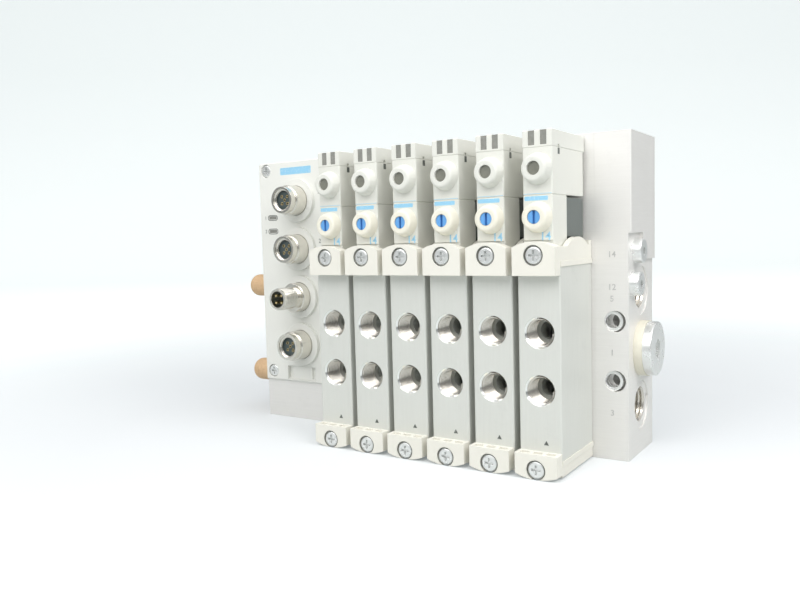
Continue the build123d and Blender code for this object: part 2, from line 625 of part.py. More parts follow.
def module_housing():
    """Moulded housing with a ring round each connector, four screw seats and a label notch."""
    left, right, low = housing_span()
    shell = box(left, right, HOUSING_FRONT, UPRIGHT_FRONT, low, HOUSING_TOP)
    shell = fillet(shell.edges().filter_by(Axis.Y).group_by(Axis.Z)[-1], 1.2)
    shell = chamfer(shell.faces().sort_by(Axis.Y)[0].edges(), 0.4)
    wall = HOUSING_WALL
    room = box(left + wall, right - wall, HOUSING_FRONT + wall, UPRIGHT_FRONT, low + wall, HOUSING_TOP - wall)
    for x, z in housing_screw_places():
        room -= rod_y(HOUSING_SCREW_HEAD_R + 1.4, HOUSING_FRONT, UPRIGHT_FRONT, x, z)
    notch_low = low + 0.8
    notch_left = NOTCH_X - NOTCH_WIDTH / 2
    notch_right = NOTCH_X + NOTCH_WIDTH / 2
    shell -= room
    notch_back = HOUSING_FRONT + NOTCH_DEPTH
    shell -= box(notch_left, notch_right, HOUSING_FRONT, notch_back, notch_low, notch_low + NOTCH_HEIGHT)
    for x in (notch_left, notch_right - NOTCH_END):
        end_back = HOUSING_FRONT + NOTCH_END_DEPTH
        shell -= box(x, x + NOTCH_END, HOUSING_FRONT, end_back, notch_low + 0.6, notch_low + NOTCH_HEIGHT - 0.6)
    for i in range(CONNECTORS):
        z = connector_z(i)
        shell += rod_y(RING_R, RING_FACE, HOUSING_FRONT, CONNECTOR_X, z)
        shell -= rod_y(SHELL_R + SHELL_CLEAR, RING_FACE, HOUSING_FRONT + wall, CONNECTOR_X, z)
    head_r = HOUSING_SCREW_HEAD_R + 0.2
    for x, z in housing_screw_places():
        shell -= rod_y(HOUSING_SCREW_R + 0.1, HOUSING_FRONT, UPRIGHT_FRONT, x, z)
        shell -= rod_y(head_r, HOUSING_FRONT, HOUSING_FRONT + HOUSING_SCREW_HEAD + 0.2, x, z)
    for z in LAMP_Z:
        lamp = Pos(LAMP_X, HOUSING_FRONT + wall / 2, z) * Box(LAMP_LENGTH, wall, LAMP_WIDTH)
        shell -= lamp
    return shell


def housing_screws():
    """The four screws that hold the housing."""
    made = []
    for x, z in housing_screw_places():
        front = HOUSING_FRONT + 0.2
        head = rod_y(HOUSING_SCREW_HEAD_R, front, front + HOUSING_SCREW_HEAD, x, z)
        head = fillet(head.edges().group_by(Axis.Y)[0], 0.5)
        screw = head + rod_y(HOUSING_SCREW_R, front + HOUSING_SCREW_HEAD, front + HOUSING_SCREW_LENGTH, x, z)
        made.append(screw - cross_drive(x, front, z))
    return Compound(made)


def socket_shell(z):
    """Metal shell of a socket: shoulder, nose and a bore for the plug."""
    shoulder = RING_FACE - SHELL_SHOULDER
    nose = shoulder - SHELL_NOSE
    back = HOUSING_FRONT + HOUSING_WALL
    shell = rod_y(SHELL_R, shoulder, back, CONNECTOR_X, z)
    shell = chamfer(shell.edges().group_by(Axis.Y)[0], 0.4)
    shell += rod_y(SHELL_NOSE_R, nose, shoulder, CONNECTOR_X, z)
    shell += rod_y(SHELL_R + 1.2, back, back + 1, CONNECTOR_X, z)
    return shell - rod_y(SOCKET_R, nose, back + 1, CONNECTOR_X, z)


def socket_insert(z):
    """Contact carrier of a socket, with a keyway and five contact holes."""
    face = RING_FACE - SHELL_SHOULDER - SHELL_NOSE + SOCKET_DEPTH
    carrier = rod_y(SOCKET_R - SOCKET_CLEAR, face, face + INSERT_LENGTH, CONNECTOR_X, z)
    key = KEY_WIDTH / 2
    top = z + SOCKET_R
    carrier -= box(CONNECTOR_X - key, CONNECTOR_X + key, face - 1, face + INSERT_LENGTH, top - KEY_DEPTH, top)
    carrier -= rod_y(PIN_R, face - 1, face + 4, CONNECTOR_X, z)
    for n in range(PINS):
        angle = radians(45 + n * 360 / PINS)
        x = CONNECTOR_X + PIN_CIRCLE_R * cos(angle)
        carrier -= rod_y(PIN_R, face - 1, face + 4, x, z + PIN_CIRCLE_R * sin(angle))
    return carrier


def power_shell(z):
    """Metal shell of the power connector: shoulder and a threaded barrel."""
    shoulder = RING_FACE - POWER_SHOULDER
    back = HOUSING_FRONT + HOUSING_WALL
    nose = POWER_TIP
    shell = rod_y(SHELL_R, shoulder, back, CONNECTOR_X, z)
    shell = chamfer(shell.edges().group_by(Axis.Y)[0], 0.4)
    shell += rod_y(THREAD_R, nose, shoulder, CONNECTOR_X, z)
    shell += rod_y(SHELL_R + 1.2, back, back + 1, CONNECTOR_X, z)
    return shell - rod_y(POWER_BORE_R, nose, back + 1, CONNECTOR_X, z)


def power_insert(z):
    """Contact carrier of the power connector, set back behind its pins."""
    face = POWER_TIP + PIN_ROOM
    carrier = rod_y(POWER_BORE_R - SOCKET_CLEAR, face, face + INSERT_LENGTH, CONNECTOR_X, z)
    for x, pin_z in pin_places(z):
        carrier -= rod_y(PIN_R, face, face + INSERT_LENGTH, x, pin_z)
    return carrier


def pin_places(z):
    """Places of the power connector's pins."""
    angles = [radians(45 + n * 360 / PINS) for n in range(PINS)]
    return [(CONNECTOR_X + PIN_CIRCLE_R * cos(a), z + PIN_CIRCLE_R * sin(a)) for a in angles]


def contact_pins():
    """Gold pins of the power connector."""
    z = connector_z(POWER_CONNECTOR)
    front = POWER_TIP + 0.8
    back = POWER_TIP + PIN_ROOM + INSERT_LENGTH
    return Compound([rod_y(PIN_R, front, back, x, pin_z) for x, pin_z in pin_places(z)])


def circuit_boards():
    """Board behind the connectors, and the board in the wiring duct that feeds the coils."""
    left, right, low = housing_span()
    back = UPRIGHT_FRONT - 0.3
    front = back - BOARD_THICKNESS
    edge = HOUSING_WALL + HOUSING_SCREW_IN + HOUSING_SCREW_HEAD_R
    module = box(left + edge, right - edge, front, back, low + HOUSING_WALL + 0.5, HOUSING_TOP - HOUSING_WALL - 0.5)
    duct_front = RAIL_FRONT + DUCT_WALL + 0.3
    spare = 2.0
    duct_left = LEFT_IN - DUCT_INTO_PLATE + DUCT_BOARD_END
    duct_right = RIGHT_IN - DUCT_WALL
    foot = DUCT_LOW + SEAT
    duct = box(duct_left, duct_right, DUCT_BOARD_Y, DUCT_BOARD_Y + BOARD_THICKNESS, foot, DUCT_HIGH - spare)
    duct += box(LEFT_IN + DUCT_WALL, duct_right, duct_front, DUCT_BOARD_Y, foot, foot + 1)
    return Compound([module, duct])


def lamp_windows():
    """Lamp windows of the module."""
    made = []
    for z in LAMP_Z:
        y = HOUSING_FRONT + HOUSING_WALL / 2 + 0.1
        made.append(Pos(LAMP_X, y, z) * Box(LAMP_LENGTH - 0.1, HOUSING_WALL - 0.2, LAMP_WIDTH - 0.1))
    return made


# ---------------------------------------------------------------- write the nodes
def build():
    """All nodes by name."""
    nodes = {}
    body, moving_spool = valve_body(), spool()
    housing, head, plunger, iron = pilot_housing(), override_head(), override_plunger(), armature()
    for i in range(VALVES):
        at = Pos(valve_x(i), 0, 0)
        nodes[f"valve_body_{i + 1}"] = at * body
        nodes[f"spool_{i + 1}"] = at * moving_spool
        nodes[f"pilot_housing_{i + 1}"] = at * housing
        nodes[f"override_head_{i + 1}"] = at * head
        nodes[f"override_plunger_{i + 1}"] = at * plunger
        nodes[f"armature_{i + 1}"] = at * iron
    nodes["upper_end_caps"] = all_valves(upper_end_cap())
    nodes["lower_end_caps"] = all_valves(lower_end_cap())
    nodes["pilot_covers"] = all_valves(pilot_cover())
    nodes["cover_lids"] = all_valves(cover_lid())
    guides = [Pos(valve_x(i), 0, 0) * g for i in range(VALVES) for g in light_guides()]
    nodes["light_guides"] = Compound(guides + lamp_windows())
    screws = [valve_screw(SCREW_UPPER_Z), valve_screw(SCREW_LOWER_Z)]
    nodes["valve_screws"] = Compound([Pos(valve_x(i), 0, 0) * s for i in range(VALVES) for s in screws])
    nodes["body_gaskets"] = all_valves(body_gasket())
    nodes["solenoid_coils"] = all_valves(solenoid_coil())
    nodes["manifold_rail"] = manifold_rail()
    nodes["right_end_plate"] = right_end_plate()
    nodes["left_end_plate"] = left_end_plate()
    nodes["tie_rods"] = tie_rods()
    supply_seat = STEP_X + SUPPLY_RING_HEIGHT
    nodes["supply_plug"] = screw_plug(
        SUPPLY_PLUG_R, SUPPLY_PLUG_HEIGHT, supply_seat, SIDE_PORT_R - 0.1, SUPPLY_STEM, SUPPLY_HEX, 0, SUPPLY_Z
    )
    nodes["supply_plug_ring"] = supply_plug_ring()
    nodes["pilot_plugs"] = Compound([
        screw_plug(PILOT_PLUG_R, PILOT_PLUG_HEIGHT, STEP_X, PILOT_PLUG_STEM_R, PILOT_PLUG_STEM, PILOT_HEX, y, z)
        for y, z in PILOT_PLUGS
    ])
    nodes["silencers"] = Compound([silencer(EXHAUST_5_Z), silencer(EXHAUST_3_Z)])
    nodes["module_housing"] = module_housing()
    nodes["housing_screws"] = housing_screws()
    nodes["circuit_boards"] = circuit_boards()
    sockets = [connector_z(i) for i in range(CONNECTORS) if i != POWER_CONNECTOR]
    power = connector_z(POWER_CONNECTOR)
    nodes["socket_shells"] = Compound([socket_shell(z) for z in sockets])
    nodes["power_shell"] = power_shell(power)
    nodes["connector_inserts"] = Compound([socket_insert(z) for z in sockets] + [power_insert(power)])
    nodes["contact_pins"] = contact_pins()
    return nodes


os.makedirs("parts", exist_ok=True)
for name, shape in build().items():
    export_step(shape, f"parts/{name}.step")
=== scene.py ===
"""Valve island: finishes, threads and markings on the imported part.

Sizes and places are in millimetres, with MM beside them where Blender needs metres. The stage, the
lights and the grain of the finishes are in metres.
"""

import json
from math import cos, radians, sin, tau

import bpy
from mathutils import Matrix, Vector


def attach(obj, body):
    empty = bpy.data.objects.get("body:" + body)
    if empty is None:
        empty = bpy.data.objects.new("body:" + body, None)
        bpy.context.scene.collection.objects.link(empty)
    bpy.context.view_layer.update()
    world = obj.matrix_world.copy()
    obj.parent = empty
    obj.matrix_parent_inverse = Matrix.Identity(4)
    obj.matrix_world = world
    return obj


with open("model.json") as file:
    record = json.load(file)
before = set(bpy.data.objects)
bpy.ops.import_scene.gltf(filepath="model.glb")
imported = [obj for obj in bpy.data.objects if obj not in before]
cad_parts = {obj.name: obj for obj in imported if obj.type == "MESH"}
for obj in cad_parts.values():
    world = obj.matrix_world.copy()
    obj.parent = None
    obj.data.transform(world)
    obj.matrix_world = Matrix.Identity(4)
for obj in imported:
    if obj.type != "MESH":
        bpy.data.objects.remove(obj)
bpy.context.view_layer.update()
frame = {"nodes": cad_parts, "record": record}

MM = 0.001
ROOT = "island"
FRONT = (0, -1, 0)
BACK = (0, 1, 0)
LEFT = (-1, 0, 0)
ORIGIN = (0, 0, 0)


def in_mm(place):
    """A place from the record, in millimetres."""
    return [round(value / MM, 4) for value in place]


# ---------------------------------------------------------------- places that the record states
record = frame["record"]
mounts = {mount["name"]: in_mm(mount["pos_m"]) for mount in record["mounts"]}
joints = {joint["name"]: joint for joint in record["behaviour"]["joints"]}
PORT_Z = (mounts["port_4_valve_1"][2], mounts["port_2_valve_1"][2])
SIDE_PORT_Z = (mounts["side_port_upper"][2], mounts["side_port_lower"][2])
OVERRIDE_Z = in_mm(joints["override_lock_1"]["pos_m"])[2]
CONNECTOR_X = mounts["power_plug"][0]

# ---------------------------------------------------------------- places as in the part's source
VALVES = 6
PITCH = 16.0
BODY_FRONT = -41.8
TAB_FRONT = -46.0
BOSS_TIP = -45.2
PILOT_HALF_WIDTH = 4.8
BLANK_BOSS_Z = 95.1
UPPER_SCREW_Z = 69.0
LOWER_SCREW_Z = 3.0
HOUSING_FRONT = -17.0
PLATE_FRONT = -14.0
PLATE_OUT = 59.1
SOCKET_FACE = -25.0
CONNECTOR_Z = [32.2 + 19.9 * n for n in range(4)]
LAMP_X = -90.6
LAMP_Z = (85.3, 79.6)
MOUNT_HOLE_Z = (46.2, 26.4)
MARK_X = 53.7               # numerals and sleeves on the right plate, 1 mm left of its mounting holes

# ---------------------------------------------------------------- sizes of what this scene adds
PRINT = 0.04                # thickness of printed marks
RAISED = 0.1                # thickness of moulded and stamped numerals
SET_BACK = 0.055            # from TAB_FRONT back to the middle of a cap's numeral
BORED_R = 4.97              # just outside the mouth of a working port
BOSS_SHADE_R = 4.9          # just outside the override boss


def valve_x(index):
    """Centre of a valve, in millimetres."""
    return (index - (VALVES - 1) / 2) * PITCH


# ---------------------------------------------------------------- shader tools
class Value:
    """A number that varies over a surface. Arithmetic on it adds Math nodes."""

    def __init__(self, paint, socket):
        self.paint = paint
        self.socket = socket

    def maths(self, operation, *values):
        return self.paint.node("ShaderNodeMath", "Value", {"operation": operation}, dict(enumerate(values)))

    def __add__(self, other):
        return self.maths("ADD", self, other)

    __radd__ = __add__

    def __sub__(self, other):
        return self.maths("SUBTRACT", self, other)

    def __rsub__(self, other):
        return self.maths("SUBTRACT", other, self)

    def __mul__(self, other):
        return self.maths("MULTIPLY", self, other)

    __rmul__ = __mul__

    def __truediv__(self, other):
        return self.maths("DIVIDE", self, other)

    def __lt__(self, other):
        return self.maths("LESS_THAN", self, other)

    def __gt__(self, other):
        return self.maths("GREATER_THAN", self, other)


class Paint:
    """A material under construction. Its inputs take numbers, colours or a Value."""

    def __init__(self, name):
        self.material = bpy.data.materials.new(name)
        self.material.use_nodes = True
        self.tree = self.material.node_tree
        self.shader = self.tree.nodes["Principled BSDF"]
        self.place = self.node("ShaderNodeTexCoord", "Object")

    def put(self, socket, value):
        if isinstance(value, Value):
            self.tree.links.new(value.socket, socket)
        elif isinstance(value, tuple) and socket.type == "RGBA" and len(value) == 3:
            socket.default_value = (*value, 1.0)
        else:
            socket.default_value = value

    def node(self, kind, output, settings=None, values=None):
        made = self.tree.nodes.new(kind)
        for key, value in (settings or {}).items():
            if key == "stops":
                ramp = made.color_ramp
                while len(ramp.elements) < len(value):
                    ramp.elements.new(0.5)
                for element, (at, shade) in zip(ramp.elements, value):
                    element.position = at
                    element.color = (shade, shade, shade, 1.0)
            else:
                setattr(made, key, value)
        for key, value in (values or {}).items():
            self.put(made.inputs[key], value)
        return Value(self, made.outputs[output])

    def stretched(self, x, y, z):
        """Surface coordinates scaled along each axis, in waves per metre."""
        return self.node("ShaderNodeMapping", "Vector", None, {"Vector": self.place, "Scale": (x, y, z)})

    def along(self, axis):
        """Distance along X, Y or Z, in metres."""
        return self.node("ShaderNodeSeparateXYZ", axis, None, {"Vector": self.place})

    def around_valve_line(self, z, radius):
        """One inside a cylinder that runs front to back at height z in every valve, in millimetres."""
        shifted = self.along("X") + PITCH / 2 * MM
        across = shifted.maths("WRAP", shifted, PITCH / 2 * MM, -PITCH / 2 * MM)
        rise = self.along("Z") - z * MM
        return across * across + rise * rise < (radius * MM) ** 2

    def noise(self, scale, detail=3.0, along=(1.0, 1.0, 1.0), rough=0.55):
        vector = self.stretched(*[scale * a for a in along])
        values = {"Vector": vector, "Scale": 1.0, "Detail": detail, "Roughness": rough}
        return self.node("ShaderNodeTexNoise", "Fac", None, values)

    def ramp(self, value, *stops):
        return self.node("ShaderNodeValToRGB", "Color", {"stops": stops}, {"Fac": value})

    def mix(self, factor, first, second):
        return self.node("ShaderNodeMix", 2, {"data_type": "RGBA"}, {0: factor, 6: first, 7: second})

    def bump(self, height, distance, strength=1.0, edge=0.0):
        values = {"Height": height, "Distance": distance, "Strength": strength}
        if edge:
            values["Normal"] = self.node("ShaderNodeBevel", "Normal", {"samples": 6}, {"Radius": edge})
        return self.node("ShaderNodeBump", "Normal", None, values)

    def finish(self, **sockets):
        for name, value in sockets.items():
            self.put(self.shader.inputs[name.replace("_", " ")], value)
        return self.material


def moulded(name, colour, warm, rough=0.42, grain=0.000012, edge=0.00025, scale=2600.0, boss=None):
    """Moulded plastic: faint flow shades, a fine skin and handling marks.

    The override boss may have its own shade.
    """
    paint = Paint(name)
    flow = paint.noise(38.0, 4.0)
    skin = paint.noise(scale, 2.0)
    marks = paint.ramp(paint.noise(170.0, 6.0, rough=0.7), (0.60, 0.0), (0.78, 1.0))
    base = paint.mix(flow, colour, warm)
    if boss:
        proud = paint.along("Y") < (BODY_FRONT - 0.05) * MM
        nose = paint.around_valve_line(OVERRIDE_Z, BOSS_SHADE_R) * proud
        base = paint.mix(nose, base, boss)
    dirt = tuple(0.80 * c for c in warm)
    return paint.finish(
        Base_Color=paint.mix(marks * 0.16, base, dirt),
        Roughness=rough + 0.10 * skin + 0.08 * marks,
        Specular_IOR_Level=0.45,
        Normal=paint.bump(skin, grain, 0.8, edge),
    )


def bored_ports(paint, base, metallic, dull):
    """Colour, metal and dullness of a valve body: bright port mouths, painted shade deeper in the ports,
    plain throats.
    """
    deep = paint.along("Y")
    inside = paint.around_valve_line(PORT_Z[0], BORED_R) + paint.around_valve_line(PORT_Z[1], BORED_R)
    inside = inside * (deep > (BODY_FRONT + 0.03) * MM)
    # Past the mouth the port walls are painted dark: painted shade in the thread grooves.
    deep_wall_shade = inside * (deep > (BODY_FRONT + 0.75) * MM)
    throat = inside * (deep > (BODY_FRONT + 7.9) * MM)
    base = paint.mix(inside, base, (0.95, 0.95, 0.93))
    base = paint.mix(deep_wall_shade, base, (0.42, 0.39, 0.34))
    base = paint.mix(throat, base, (0.84, 0.86, 0.80))
    metallic = metallic + (1.0 - metallic) * (inside - throat)
    dull = dull * (1.0 - inside) + 0.13 * inside
    return base, metallic, dull


def metal(
    name, colour, shade, rough, metallic, along=(1, 1, 1), scale=900.0, depth=0.00001, marks=0.2, bored=False
):
    """Worked metal: the lines run across the axis with the largest figure in along."""
    paint = Paint(name)
    lines = paint.noise(scale, 3.0, along)
    cloud = paint.noise(45.0, 4.0)
    stains = paint.ramp(paint.noise(110.0, 7.0, rough=0.72), (0.58, 0.0), (0.80, 1.0))
    base = paint.mix(0.55 * lines + 0.45 * cloud, colour, shade)
    base = paint.mix(stains * marks, base, tuple(0.72 * c for c in shade))
    dull = rough + 0.14 * lines + 0.10 * stains
    if bored:
        base, metallic, dull = bored_ports(paint, base, metallic, dull)
    surface = paint.bump(lines, depth, 0.7, edge=0.0002)
    return paint.finish(Base_Color=base, Metallic=metallic, Roughness=dull, Normal=surface)


def sintered(name):
    """Bronze beads sintered together, open between the beads, with painted shade in the openings."""
    paint = Paint(name)
    values = {"Vector": paint.stretched(1, 1, 1), "Scale": 1900.0}
    beads = paint.node("ShaderNodeTexVoronoi", "Distance", {"feature": "F1"}, values)
    cloud = paint.noise(120.0, 4.0)
    pores_and_shade = paint.ramp(beads, (0.35, 0.0), (0.75, 1.0))
    base = paint.mix(cloud, (0.84, 0.60, 0.37), (0.74, 0.50, 0.29))
    return paint.finish(
        # The pores are painted darker brown: painted shade in the openings between the beads.
        Base_Color=paint.mix(pores_and_shade * 0.5, base, (0.42, 0.26, 0.13)),
        Metallic=0.2,
        Roughness=0.55 + 0.2 * pores_and_shade,
        Normal=paint.bump(1.0 - beads, 0.00012, 0.9),
    )


def printed(name, colour):
    """Pad-printed ink, a little worn. Its dark version also paints shade: the rings in the cap screw gaps
    and the patches on the latch recesses.
    """
    paint = Paint(name)
    worn = paint.ramp(paint.noise(1500.0, 4.0), (0.55, 0.0), (0.75, 1.0))
    pale = tuple(0.5 + 0.5 * c for c in colour)
    return paint.finish(Base_Color=paint.mix(worn * 0.5, colour, pale), Roughness=0.45 + 0.1 * worn)


def window(name, colour, deep):
    """Clouded clear plastic over a dark chamber."""
    paint = Paint(name)
    cloud = paint.noise(700.0, 3.0)
    base = paint.mix(cloud, colour, deep)
    return paint.finish(Base_Color=base, Roughness=0.12 + 0.1 * cloud, Coat_Weight=0.6)


# Two colours each, between which the surface varies, and what differs from the usual look.
MOULDED = {
    "cap_plastic": ((0.84, 0.82, 0.75), (0.80, 0.78, 0.70), {}),
    "pilot_plastic": ((0.78, 0.78, 0.73), (0.74, 0.74, 0.68), {"boss": (0.84, 0.81, 0.70)}),
    "module_plastic": (
        (0.84, 0.84, 0.80),
        (0.80, 0.80, 0.75),
        {"rough": 0.5, "grain": 0.00003, "edge": 0.0004, "scale": 1500.0},
    ),
    "ring_plastic": ((0.80, 0.77, 0.66), (0.74, 0.70, 0.58), {}),
    "override_blue": ((0.15, 0.40, 0.80), (0.12, 0.36, 0.74), {"rough": 0.35}),
    "contact_carrier": ((0.085, 0.11, 0.11), (0.06, 0.08, 0.08), {"rough": 0.4}),
    "coil_resin": ((0.17, 0.19, 0.18), (0.13, 0.145, 0.14), {"rough": 0.5}),
    "seal_rubber": ((0.04, 0.045, 0.045), (0.03, 0.03, 0.03), {"rough": 0.7}),
    "board_laminate": ((0.04, 0.20, 0.09), (0.03, 0.15, 0.07), {"rough": 0.4}),
    # cap_mark: a darker cream on the caps' raised numerals, painted shade for the shading of their relief
    "cap_mark": ((0.72, 0.70, 0.60), (0.66, 0.64, 0.54), {}),
}

# Two colours, roughness and metal share each, and what differs from the usual look.
WORKED = {
    "body_aluminium": (
        (0.74, 0.75, 0.71), (0.67, 0.68, 0.64), 0.40, 0.25,
        {"along": (1, 1, 0.05), "scale": 1500, "depth": 0.000006, "bored": True},
    ),
    "plate_aluminium": (
        (0.90, 0.885, 0.86), (0.80, 0.785, 0.76), 0.36, 0.35,
        {"along": (0.04, 0.04, 1), "scale": 2200, "depth": 0.000012},
    ),
    "milled_aluminium": ((0.84, 0.81, 0.75), (0.64, 0.60, 0.53), 0.16, 1.0, {"scale": 700}),
    "screw_steel": (
        (0.93, 0.94, 0.93), (0.82, 0.83, 0.82), 0.22, 0.72,
        {"scale": 300, "depth": 0.000006, "marks": 0.08},
    ),
    "spool_steel": (
        (0.78, 0.79, 0.80), (0.60, 0.61, 0.62), 0.22, 1.0,
        {"along": (0.05, 0.05, 1), "scale": 2000},
    ),
    "armature_iron": (
        (0.45, 0.45, 0.46), (0.32, 0.32, 0.33), 0.35, 1.0,
        {"along": (1, 0.05, 1), "scale": 2000},
    ),
    "nickel": (
        (0.86, 0.84, 0.79), (0.72, 0.69, 0.62), 0.15, 1.0,
        {"scale": 500, "depth": 0.000006, "marks": 0.1},
    ),
    "pin_gold": ((0.92, 0.76, 0.42), (0.75, 0.56, 0.25), 0.2, 1.0, {"scale": 2000}),
    "stamped": ((0.64, 0.63, 0.62), (0.50, 0.49, 0.48), 0.45, 0.3, {}),
}

FINISH = {
    "bronze": sintered("bronze"),
    "window_clear": window("window_clear", (0.36, 0.36, 0.33), (0.20, 0.20, 0.18)),
    "blank_disc": window("blank_disc", (0.27, 0.27, 0.23), (0.18, 0.18, 0.15)),
    "print_blue": printed("print_blue", (0.31, 0.62, 0.84)),
    # dark print, also used as painted shade in the screw gaps and on the latch recesses
    "dark_print_and_shade": printed("dark_print_and_shade", (0.10, 0.11, 0.10)),
}
for name, (colour, warm, look) in MOULDED.items():
    FINISH[name] = moulded(name, colour, warm, **look)
for name, (colour, shade, rough, metallic, look) in WORKED.items():
    FINISH[name] = metal(name, colour, shade, rough, metallic, **look)

for part in record["subparts"]:
    mesh = frame["nodes"][part["node"]].data
    mesh.materials.clear()
    mesh.materials.append(FINISH[part["material_slot"]])


# ---------------------------------------------------------------- piece tools
def clear_selection():
    """Nothing selected, object mode."""
    if bpy.context.object and bpy.context.object.mode != "OBJECT":
        bpy.ops.object.mode_set(mode="OBJECT")
    bpy.ops.object.select_all(action="DESELECT")


def pick(piece, kind, wanted):
    """Edit mode with only the faces or edges for which wanted is true selected."""
    bpy.ops.object.mode_set(mode="EDIT")
    bpy.ops.mesh.select_mode(type=kind)
    bpy.ops.mesh.select_all(action="DESELECT")
    bpy.ops.object.mode_set(mode="OBJECT")
    for element in piece.data.polygons if kind == "FACE" else piece.data.edges:
        element.select = wanted(element)
    bpy.ops.object.mode_set(mode="EDIT")


def settle():
    """The active object's place goes into its mesh."""
    bpy.ops.object.transform_apply(location=True, rotation=True, scale=True)
    return bpy.context.object


def dress(piece, name, finish, body=ROOT):
    """Names a finished piece, paints it and seats it on its body."""
    piece.name = name
    piece.data.name = name
    piece.data.materials.clear()
    piece.data.materials.append(FINISH[finish])
    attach(piece, body)
    return piece


def copy_to(piece, name, x, y, z, body=ROOT):
    """A copy with its own mesh, moved by millimetres."""
    twin = piece.copy()
    twin.data = piece.data.copy()
    twin.data.transform(Matrix.Translation(Vector((x, y, z)) * MM))
    bpy.context.collection.objects.link(twin)
    twin.name = name
    twin.data.name = name
    twin.parent = None
    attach(twin, body)
    return twin


def apply_modifiers(piece):
    """Applies all modifiers of the active piece."""
    for modifier in list(piece.modifiers):
        bpy.ops.object.modifier_apply(modifier=modifier.name)


def moved(centre, towards=(0, 0, 1)):
    """The move that takes a piece made upright at the origin to its centre, turned to face a direction."""
    turn = Vector((0, 0, 1)).rotation_difference(Vector(towards)).to_matrix().to_4x4()
    return Matrix.Translation(Vector(centre) * MM) @ turn


def thread(radius, depth, lead, turns, towards, start, steps=40, crest=0.5):
    """A screw thread's ridge on a wall. Its crest is half the ridge's width as a share of the lead."""
    clear_selection()
    bpy.ops.mesh.primitive_circle_add(vertices=4, radius=1.0)
    ridge = bpy.context.object
    bpy.ops.object.mode_set(mode="EDIT")
    bpy.ops.mesh.select_all(action="SELECT")
    bpy.ops.transform.resize(value=(depth * MM, lead * crest * MM, 1.0))
    bpy.ops.object.mode_set(mode="OBJECT")
    ridge.data.transform(Matrix.Rotation(radians(90), 4, "X"))
    ridge.data.transform(Matrix.Translation((radius * MM, 0, 0)))
    winding = ridge.modifiers.new("winding", "SCREW")
    winding.axis = "Z"
    winding.screw_offset = lead * MM
    winding.iterations = turns
    winding.steps = steps
    winding.render_steps = steps
    apply_modifiers(ridge)
    bpy.ops.object.mode_set(mode="EDIT")
    bpy.ops.mesh.select_all(action="SELECT")
    bpy.ops.mesh.fill_holes(sides=4)
    bpy.ops.mesh.select_all(action="SELECT")
    bpy.ops.mesh.normals_make_consistent(inside=False)
    bpy.ops.object.mode_set(mode="OBJECT")
    ridge.data.transform(moved(start, towards))
    bpy.ops.object.shade_smooth_by_angle(angle=radians(40))
    return ridge


def numeral(words, height, thickness, centre, weight=0.0):
    """A raised or printed numeral that faces the front. Its strokes are thickened by the weight."""
    clear_selection()
    bpy.ops.object.text_add()
    text = bpy.context.object
    text.data.body = words
    text.data.size = height * 1.38 * MM
    text.data.extrude = thickness / 2 * MM
    text.data.align_x = "CENTER"
    text.data.align_y = "CENTER"
    text.data.resolution_u = 4
    text.data.offset = weight * MM
    text.rotation_euler = (radians(90), 0, 0)
    text.location = Vector(centre) * MM
    bpy.ops.object.convert(target="MESH")
    return settle()


def plate(width, height, thickness, centre, corner=0.3):
    """A thin rounded plate that faces the front."""
    clear_selection()
    bpy.ops.mesh.primitive_cube_add(size=1.0, location=Vector(centre) * MM)
    slab = bpy.context.object
    slab.scale = (width * MM, thickness * MM, height * MM)
    settle()

    def runs_back(edge):
        one, other = (slab.data.vertices[v].co for v in edge.vertices)
        return abs(one.x - other.x) < 1e-7 and abs(one.z - other.z) < 1e-7

    pick(slab, "EDGE", runs_back)
    bpy.ops.mesh.bevel(offset=corner * MM, segments=4)
    bpy.ops.object.mode_set(mode="OBJECT")
    return slab


def disc(radius, thickness, towards, centre, rim=0.2):
    """A thin disc with a softened rim."""
    clear_selection()
    bpy.ops.mesh.primitive_cylinder_add(vertices=40, radius=radius * MM, depth=thickness * MM)
    made = bpy.context.object
    pick(made, "FACE", lambda face: face.normal.z > 0.9)
    bpy.ops.mesh.inset(thickness=rim * MM, depth=0)
    bpy.ops.transform.translate(value=(0, 0, rim * 0.3 * MM))
    bpy.ops.object.mode_set(mode="OBJECT")
    made.data.transform(moved(centre, towards))
    return made


def ring(radius, wire, centre):
    """A fine ring that faces the front."""
    clear_selection()
    bpy.ops.mesh.primitive_torus_add(
        major_segments=40,
        minor_segments=8,
        major_radius=radius * MM,
        minor_radius=wire / 2 * MM,
        rotation=(radians(90), 0, 0),
    )
    made = settle()
    made.data.transform(moved(centre))
    bpy.ops.object.shade_smooth()
    return made


def tube(outer, inner, length, towards, start):
    """A turned sleeve with broken edges. It runs from its start in a direction."""
    clear_selection()
    bpy.ops.mesh.primitive_cylinder_add(vertices=48, radius=outer * MM, depth=length * MM)
    made = bpy.context.object
    pick(made, "FACE", lambda face: abs(face.normal.z) > 0.9)
    bpy.ops.mesh.inset(thickness=(outer - inner) * MM, depth=0)
    bpy.ops.mesh.bridge_edge_loops()
    bpy.ops.object.mode_set(mode="OBJECT")
    rim = made.modifiers.new("rim", "BEVEL")
    rim.width = 0.22 * MM
    rim.segments = 2
    apply_modifiers(made)
    lift = Matrix.Translation((0, 0, length / 2 * MM))
    made.data.transform(moved(start, towards) @ lift)
    bpy.ops.object.shade_smooth_by_angle(angle=radians(40))
    return made


def outline(width, height, wire, centre):
    """A rounded frame line that faces the front."""
    clear_selection()
    bpy.ops.mesh.primitive_torus_add(
        major_segments=32, minor_segments=6, major_radius=height / 2 * MM, minor_radius=wire / 2 * MM
    )
    line = bpy.context.object
    line.data.transform(Matrix.Rotation(radians(90), 4, "X"))
    stretch = (width - height) / 2 * MM
    for vertex in line.data.vertices:
        if abs(vertex.co.x) > 1e-6:
            vertex.co.x += stretch if vertex.co.x > 0 else -stretch
    line.data.transform(moved(centre))
    return line


